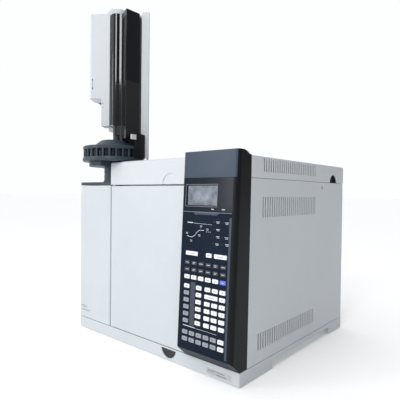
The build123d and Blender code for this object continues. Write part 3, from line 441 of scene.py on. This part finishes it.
zoned("keypad_bezel", 0.5, [(D(0, 0, 432), (0, 0.05, 1)), (D(0, 0, 359), (0, 0.05, 1)), (D(-12.4, 0, 0), (1, 0, 0)), (D(-1.2, 0, 0), (1, 0, 0))],
      ["hood_plastic", "bezel_side", "display_band", "key_plate"], bezel_pick)
def local(c):
    """A point in the tower's own axes (mm)."""
    o = T(0, 0, 0)
    ex, ey = T(1000, 0, 0) - o, T(0, 1000, 0) - o
    d = c - o
    return d.dot(ex) * 1000, d.dot(ey) * 1000, c.z * 1000


def spine_pick(c, n):
    x, y, z = local(c)
    if y < -4.35 and z < 562:
        if 541.3 < z < 554.8 and math.degrees(math.atan2(y, x)) < -33.9:
            return 0
        return 1
    return 0


o_ = T(0, 0, 0)
ey_ = (T(0, 1, 0) - o_).normalized()
zoned("tower_spine", 1.0, [(T(0, -4.35, 0), ey_), (T(0, 0, 541.3), (0, 0, 1)), (T(0, 0, 554.8), (0, 0, 1))],
      ["white_plastic", "gap_black"], spine_pick)
# the door is cut at 703 mm: above stays black gloss, below takes a lighter grey that is a painted reflection of the
# horizon
zoned("tower_door", 0.8, [(T(0, 0, 703), (0, 0, 1))], ["black_gloss", "door_painted_reflection_gloss"], lambda c, n: 0 if c.z > 0.703 else 1)
for n, o in NODES.items():
    o.data.materials.clear()
    o.data.materials.append(MATS[SLOT_OF[n]])

# ------------------------------------------------------------------ keypad column
def FX(x, v, n):
    return F(x, v, n)


KEY_W, KEY_H = 15.2, 9.0
KX = (-128.0, -108.2, -88.4, -68.6, -48.8, -29.0)
KEYS = {
    "key_start": [(-116.7, 267.8, 34.0)],
    "key_stop": [(-68.6, 267.8, 15.2)],
    "key_prep": [(-37.8, 267.8, 33.0)],
    "keys_function": [(x, z, KEY_W) for z in (247.4, 232.4) for x in KX],
    "keys_zone": [(x, 216.2, KEY_W) for x in KX[:5]] + [(-127.7, 195.8, KEY_W)]
                 + [(-92.9, z, KEY_W) for z in (195.8, 180.8, 165.7, 150.6, 135.5, 120.6)]
                 + [(KX[5], z, KEY_W) for z in (95.7, 81.1)],
    "key_shift": [(KX[5], 216.2, KEY_W)],
    "keys_number": [(x, z, KEY_W) for z in (195.8, 165.7, 150.6, 135.5, 120.6) for x in KX[3:]]
                   + [(-58.6, 180.8, 35.0), (KX[5], 180.8, KEY_W)],
    "keys_store": [(-127.7, z, KEY_W) for z in (180.8, 165.7, 150.6, 135.5, 120.6)]
                  + [(x, z, KEY_W) for z in (95.7, 81.1) for x in KX[:5]],
}


def rrect(cx, cyy, w, h, r, n=5):
    pts = []
    for k, (sx, sy_) in enumerate(((1, 1), (-1, 1), (-1, -1), (1, -1))):
        for i in range(n + 1):
            a = math.pi / 2 * (k + i / n)
            pts.append((cx + sx * (w / 2 - r) + r * math.cos(a), cyy + sy_ * (h / 2 - r) + r * math.sin(a)))
    return pts


def loft_face(bm, loops, cap=True, place=FX):
    """Closed loops of equal point counts, each (points, n), joined one to the next."""
    rings = [[bm.verts.new(place(x, y, n)) for x, y in pts] for pts, n in loops]
    for a, b in zip(rings, rings[1:]):
        m = len(a)
        for k in range(m):
            bm.faces.new((a[k], a[(k + 1) % m], b[(k + 1) % m], b[k]))
    if cap:
        bm.faces.new(rings[0][::-1])
        bm.faces.new(rings[-1])
    return rings


def key_mesh(bm, x, z, w):
    v = fv(z)
    h = KEY_H
    L = [(rrect(x, v, w - 0.1, h - 0.1, 1.4), -5.4),
         (rrect(x, v, w - 0.1, h - 0.1, 1.4), 0.55),
         (rrect(x, v, w - 0.5, h - 0.5, 1.35), 1.15),
         (rrect(x, v, w - 1.3, h - 1.3, 1.2), 1.52),
         (rrect(x, v, w - 2.2, h - 2.2, 1.0), 1.56),
         (rrect(x, v, w - 4.2, h - 4.2, 0.8), 1.44),
         (rrect(x, v, w - 7.2, h - 6.6, 0.5), 1.36)]
    loft_face(bm, L)


for node, ks in KEYS.items():
    bm = bmesh.new()
    for k in ks:
        key_mesh(bm, *k)
    o = add_obj(node + "_caps", bm, SLOT_OF[node], BODY_OF[node], 50)
    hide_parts(node)


def flat(bm, x0, x1, z0, z1, n0, n1):
    """A thin printed mark standing on the keypad face."""
    v0, v1 = fv(z0), fv(z1)
    pts = [(x0, v0), (x1, v0), (x1, v1), (x0, v1)]
    loft_face(bm, [(pts, n0), (pts, n1)])


# generic marks on the keys: short bars, plain digits and arrows
def glyph(ch, x, z, size, n, body, mat, name):
    cu = bpy.data.curves.new(name, "FONT")
    cu.body = ch
    cu.size = size
    cu.align_x, cu.align_y = "CENTER", "CENTER"
    cu.extrude = 0.03
    tmp = bpy.data.objects.new(name + "_t", cu)
    COLL.objects.link(tmp)
    bpy.context.view_layer.update()
    me_ = bpy.data.meshes.new_from_object(tmp.evaluated_get(bpy.context.evaluated_depsgraph_get()))
    bpy.data.objects.remove(tmp)
    v = fv(z)
    for q in me_.vertices:
        q.co = F(x + q.co.x, v + q.co.y, n + q.co.z)
    return me_


digit_meshes = []
numbers = {(KX[3], 165.7): "7", (KX[4], 165.7): "8", (KX[5], 165.7): "9", (KX[3], 150.6): "4", (KX[4], 150.6): "5", (KX[5], 150.6): "6",
           (KX[3], 135.5): "1", (KX[4], 135.5): "2", (KX[5], 135.5): "3", (KX[4], 120.6): "0"}
bm = bmesh.new()
for (x, z), ch in numbers.items():
    me_ = glyph(ch, x, z, 5.6, 1.42, "number_keys", "print_dark", "digit_" + ch)
    bm.from_mesh(me_)
    bpy.data.meshes.remove(me_)
for (z, s) in ((195.8, 1), (180.8, -1)):
    v = fv(z)
    tri = [(KX[5] - 1.7, v - 1.3 * s), (KX[5] + 1.7, v - 1.3 * s), (KX[5], v + 1.7 * s)]
    if s < 0:
        tri = tri[::-1]
    loft_face(bm, [(tri, 1.3), (tri, 1.48)])
flat(bm, KX[3] - 0.6, KX[3] + 0.6, 118.6, 119.8, 1.3, 1.5)
flat(bm, KX[5] - 2.2, KX[5] + 2.2, 120.1, 121.1, 1.3, 1.5)
for (x, z) in ((KX[3], 195.8), (KX[4], 195.8)):
    flat(bm, x - 3.8, x + 3.8, z - 0.5, z + 0.5, 1.3, 1.47)
flat(bm, -66, -51, 180.3, 181.3, 1.3, 1.47)
add_obj("number_key_marks", bm, "print_dark", "number_keys", 30)


def bars(name, node, mat, lengths, two=()):
    bm = bmesh.new()
    for i, (x, z, w) in enumerate(KEYS[node]):
        a = lengths[i % len(lengths)] * (w / KEY_W)
        if i % 3 in two:
            flat(bm, x - a / 2, x + a / 2, z + 0.9, z + 1.7, 1.3, 1.5)
            flat(bm, x - a / 2, x + a / 4, z - 1.7, z - 0.9, 1.3, 1.5)
        else:
            flat(bm, x - a / 2, x + a / 2, z - 0.5, z + 0.5, 1.3, 1.5)
    return add_obj(name, bm, mat, BODY_OF[node], 30)


bars("start_key_mark", "key_start", "print_dark", (8.5,))
bars("stop_key_mark", "key_stop", "print_dark", (7,))
bars("prep_key_mark", "key_prep", "print_dark", (8,))
bars("zone_key_marks", "keys_zone", "print_dark", (8.4, 7.2, 6.4), two=(1,))
bars("store_key_marks", "keys_store", "print_dark", (8.2, 7.4, 9.0), two=(0, 2))
bars("function_key_marks", "keys_function", "print_white", (8.8, 7.6, 9.2), two=(1,))
bars("shift_key_mark", "key_shift", "print_white", (7,))

# helpers for a skin over the column's hood; they are not called here
SKIN = 0.30


def ysurf(z, n=0.0):
    """y of the keypad face at a height, moved out of it by n."""
    t = (z - FB[1]) / (FT[1] - FB[1])
    return FB[0] + t * (FT[0] - FB[0]) - n


def hood_profile(n):
    pts = [(ysurf(434.2, n), 434.2), (ysurf(470, n), 470.0), (ysurf(483, n), 483.0), (ysurf(487.5, n) + 0.5, 488.0), (ysurf(490, n) + 2.2, 489.8),
           (-2, 489.7 + n * 0.5), (10, 489.4 + n * 0.5), (19, 486.5 + n * 0.5), (26, 482.3 + n * 0.5), (33.0, 481.1 + n * 0.5)]
    return pts


def hood(bm):
    xs = [(-150.3, 0), (-149.4, 1), (-12.5, 1), (-7.5, 1), (-4.2, 1), (-2.0, 0.9), (-0.7, 0.6)]
    outer = []
    for x, k in xs:
        # the right end turns round the corner
        back = 0.0
        if x > -12.5:
            t = (x + 12.5) / 11.8
            back = 8.2 * (1 - math.sqrt(max(0.0, 1 - t * t)))
        ring = []
        for (y, z) in hood_profile(SKIN * (1 if k else 0.2)):
            yy = y + back if y < 8 else y
            ring.append(bm.verts.new(D(x, yy, min(z, 490.0) - (0.06 * back if z > 480 else 0))))
        outer.append(ring)
    for a, b in zip(outer, outer[1:]):
        for k in range(len(a) - 1):
            bm.faces.new((a[k], b[k], b[k + 1], a[k + 1]))
    return outer


# key plate graphics
bm = bmesh.new()
W0, W1 = 0.02, 0.16


def seg(bm, p, q, w=0.7, n0=W0, n1=W1):
    (x0, z0), (x1, z1) = p, q
    dx, dz = x1 - x0, z1 - z0
    L = math.hypot(dx, dz)
    ox, oz = -dz / L * w / 2, dx / L * w / 2
    pts = [(x0 - ox, fv(z0 - oz)), (x1 - ox, fv(z1 - oz)), (x1 + ox, fv(z1 + oz)), (x0 + ox, fv(z0 + oz))]
    loft_face(bm, [(pts, n0), (pts, n1)])


ramp = [(-133.1, 305.6), (-126, 303.2), (-117.5, 303.4), (-110.5, 307.5), (-104, 315.2), (-98, 319.2), (-85.1, 319.1)]
for p, q in zip(ramp, ramp[1:]):
    seg(bm, p, q, 0.9)
for x in (-79, -74, -69):
    seg(bm, (x, 317), (x + 2.2, 317), 0.9)
seg(bm, (-133, 334.6), (-117, 334.2), 1.6)
seg(bm, (-114.5, 333.6), (-63.7, 332.5), 0.5)
for (x, z) in ((-48.0, 339.4), (-24.6, 338.7), (-47.2, 323.9), (-46.5, 309.1), (-24.2, 308.4), (-48.3, 293.9), (-22.5, 294.6)):
    seg(bm, (x - 4.6, z), (x + 4.6, z), 1.0)
    seg(bm, (x - 3.0, z - 2.6), (x + 3.4, z - 2.6), 0.9)
for (x, z) in ((-134, 312), (-121, 296), (-98, 309), (-94, 328.5), (-76, 323)):
    seg(bm, (x - 3, z), (x + 3, z), 0.9)
    seg(bm, (x - 2, z - 2.4), (x + 3, z - 2.4), 0.8)
seg(bm, (-134.4, 109.6), (-100, 109.0), 1.5)
seg(bm, (-99, 108.6), (-40.2, 108.2), 0.5)
add_obj("keypad_plate_print", bm, "print_white", "cabinet", 30)

# status lights
bm = bmesh.new()
for (x, z) in ((-58.5, 338.2), (-58.5, 323.2), (-58.5, 308.0), (-58.5, 293.2), (-34.6, 338.2), (-34.6, 308.0), (-34.6, 293.2)):
    loft_face(bm, [(rrect(x, fv(z), 2.6, 1.5, 0.5), 0.0), (rrect(x, fv(z), 2.6, 1.5, 0.5), 0.35), (rrect(x, fv(z), 1.8, 0.8, 0.3), 0.5)])
add_obj("status_lights", bm, "key_dark", "cabinet", 30)

# lighter strips printed on the plate
make("strip_blue", (0.030, 0.042, 0.066), (0.036, 0.050, 0.076), (0.28, 0.36), scale=9, grain=2400, bump=0.05, dist=0.0001)
bm = bmesh.new()
flat(bm, -116.5, -103.5, 112, 206, 0.0, 0.07)
flat(bm, -18.6, -13.0, 62, 349, 0.0, 0.07)
add_obj("plate_strips", bm, "strip_blue", "cabinet", 30)

# display panel behind its window, and the rim round the opening
bm = bmesh.new()
loft_face(bm, [(rrect(-97, fv(394), 84, 43.4, 1.0), -5.2), (rrect(-97, fv(394), 84, 43.4, 1.0), -4.1), (rrect(-97, fv(394), 83.2, 42.6, 0.8), -3.8)])
add_obj("display_panel", bm, "lcd_glass", "cabinet", 30)
bm = bmesh.new()
lo_, hi_ = 394 - 23.4, 394 + 23.4
for (x0, x1, z0, z1) in ((-142.0, -140.9, lo_ - 0.9, hi_ + 0.9), (-53.1, -52.2, lo_ - 0.9, hi_ + 0.9), (-140.9, -53.1, hi_, hi_ + 0.9), (-140.9, -53.1, lo_ - 0.9, lo_)):
    flat(bm, x0, x1, z0, z1, 0.0, 0.22)
flat(bm, -148.2, -13.4, 357.7, 358.7, 0.0, 0.3)
add_obj("display_rim", bm, "rim_grey", "cabinet", 30)
bm = bmesh.new()
pts = [(-112, fv(352.6)), (-52, fv(352.6)), (-46, fv(357.6)), (-118, fv(357.6))]
loft_face(bm, [(pts, 0.0), (pts, 0.2)])
add_obj("display_step", bm, "strip_blue", "cabinet", 30)
bm = bmesh.new()
for (x0, x1) in ((-67.5, -60.5), (-39.5, -31.0)):
    flat(bm, x0, x1, 364.4, 365.9, 0.0, 0.14)
add_obj("display_marks", bm, "print_white", "cabinet", 30)

# blank rating plates and small printed bars
bm = bmesh.new()
prism(bm, [(-87.5, -0.16), (-20.5, -0.16), (-20.5, 0.05), (-87.5, 0.05)], 7.5, 20.5, bev=0.05, seg=1)
add_obj("sill_plate", bm, "label_blank", "cabinet", 30)
bm = bmesh.new()
for (x0, x1, z0, z1) in ((-84, -64, 16.0, 17.0), (-84, -70, 13.2, 14.0), (-60, -33, 10.4, 11.6), (-60, -38, 15.6, 16.6)):
    prism(bm, [(x0, -0.24), (x1, -0.24), (x1, -0.12), (x0, -0.12)], z0, z1)
for (x0, x1, z0, z1) in ((-570, -557, 65.6, 67.0), (-554, -547, 65.6, 67.0), (-570, -544, 61.6, 62.6), (-570, -526, 54.6, 55.4), (-570, -533, 51.6, 52.4)):
    prism(bm, [(x0, -0.12), (x1, -0.12), (x1, 0.03), (x0, 0.03)], z0, z1)
add_obj("front_print", bm, "print_dark", "cabinet", 30)


def on_wall(a, z, n=0.0):
    """A point on the tower's slanting right wall, at a depth a and height z, moved out of it by n."""
    dx, dy = 79.0 - 100.0, 108.0 + 2.0
    L = math.hypot(dx, dy)
    return T(100.0 + (a + 2) * dx / 110.0 + n * dy / L, a - n * dx / L, z)


def wall_card(bm, a0, a1, z0, z1, n0, n1):
    lo = [bm.verts.new(on_wall(a, z, n0)) for a, z in ((a0, z0), (a1, z0), (a1, z1), (a0, z1))]
    hi = [bm.verts.new(on_wall(a, z, n1)) for a, z in ((a0, z0), (a1, z0), (a1, z1), (a0, z1))]
    bm.faces.new(lo[::-1])
    bm.faces.new(hi)
    for i in range(4):
        bm.faces.new((lo[i], lo[(i + 1) % 4], hi[(i + 1) % 4], hi[i]))


bm = bmesh.new()
wall_card(bm, 4, 15, 560, 634, -0.05, 0.14)
add_obj("tower_plate", bm, "label_blank", BODY_OF["tower_spine"], 30)
bm = bmesh.new()
for k, L in enumerate((20, 13, 24, 9)):
    wall_card(bm, 6 + 2.1 * k, 6.9 + 2.1 * k, 566 + 4 * (k % 2), 566 + 4 * (k % 2) + 2.4 * L, 0.10, 0.2)
add_obj("tower_print", bm, "print_dark", BODY_OF["tower_spine"], 30)

# indicator lights of the tower and screw heads on its front strip
bm = bmesh.new()
for z in (715.5, 691.8):
    prism(bm, rrect(-61.2, z, 3.0, 4.6, 1.2), -0.05, 0.45, place=lambda x, y, n: T(x, -n, y), bev=0.12, seg=1)
prism(bm, rrect(-61.2, 703.6, 0.7, 16.0, 0.3), -0.05, 0.12, place=lambda x, y, n: T(x, -n, y))
for z in (649.5, 638.7):
    prism(bm, rrect(-31.3, z, 2.2, 2.2, 1.0), -0.05, 0.3, place=lambda x, y, n: T(x, -n, y), bev=0.1, seg=1)
add_obj("tower_indicators", bm, "led_dark", BODY_OF["tower_housing"], 30)

# matte band along the top of the door's left face
bm = bmesh.new()
p0, p1 = (25.2, -14.2), (42.4, -44.9)
L = math.hypot(p1[0] - p0[0], p1[1] - p0[1])
nx, ny = (p1[1] - p0[1]) / L, -(p1[0] - p0[0]) / L
prism(bm, [(p0[0] - nx * 0.1, p0[1] - ny * 0.1), (p0[0] + nx * 0.2, p0[1] + ny * 0.2), (p1[0] + nx * 0.2, p1[1] + ny * 0.2), (p1[0] - nx * 0.1, p1[1] - ny * 0.1)],
      878.5, 895.0, place=T)
add_obj("door_band", bm, "slate_plastic", BODY_OF["tower_door"], 30)

# pan head screws round the rear panel
REAR_Y = 525.0
bm = bmesh.new()
for (x, z) in ((-560, 40), (-560, 240), (-560, 405), (-445, 40), (-160, 40), (-160, 240), (-20, 40), (-20, 240), (-20, 395)):
    lathe(bm, [(3.6, -0.2), (3.6, 0.5), (2.9, 1.1), (1.5, 1.35), (1.4, 0.75), (0.02, 0.7)], (x, REAR_Y, z), D, 20, axis="y")
add_obj("rear_screws", bm, "zinc", "cabinet", 30)
# foam strip closing the slit under the rear of the right top cover
bm = bmesh.new()
prism(bm, [(-150.2, 521.8), (-2.5, 521.8), (-2.5, 524.4), (-150.2, 524.4)], 417.1, 432.2, bev=0.4, seg=2)
add_obj("rear_strip", bm, "rubber_black", "cabinet", 30)
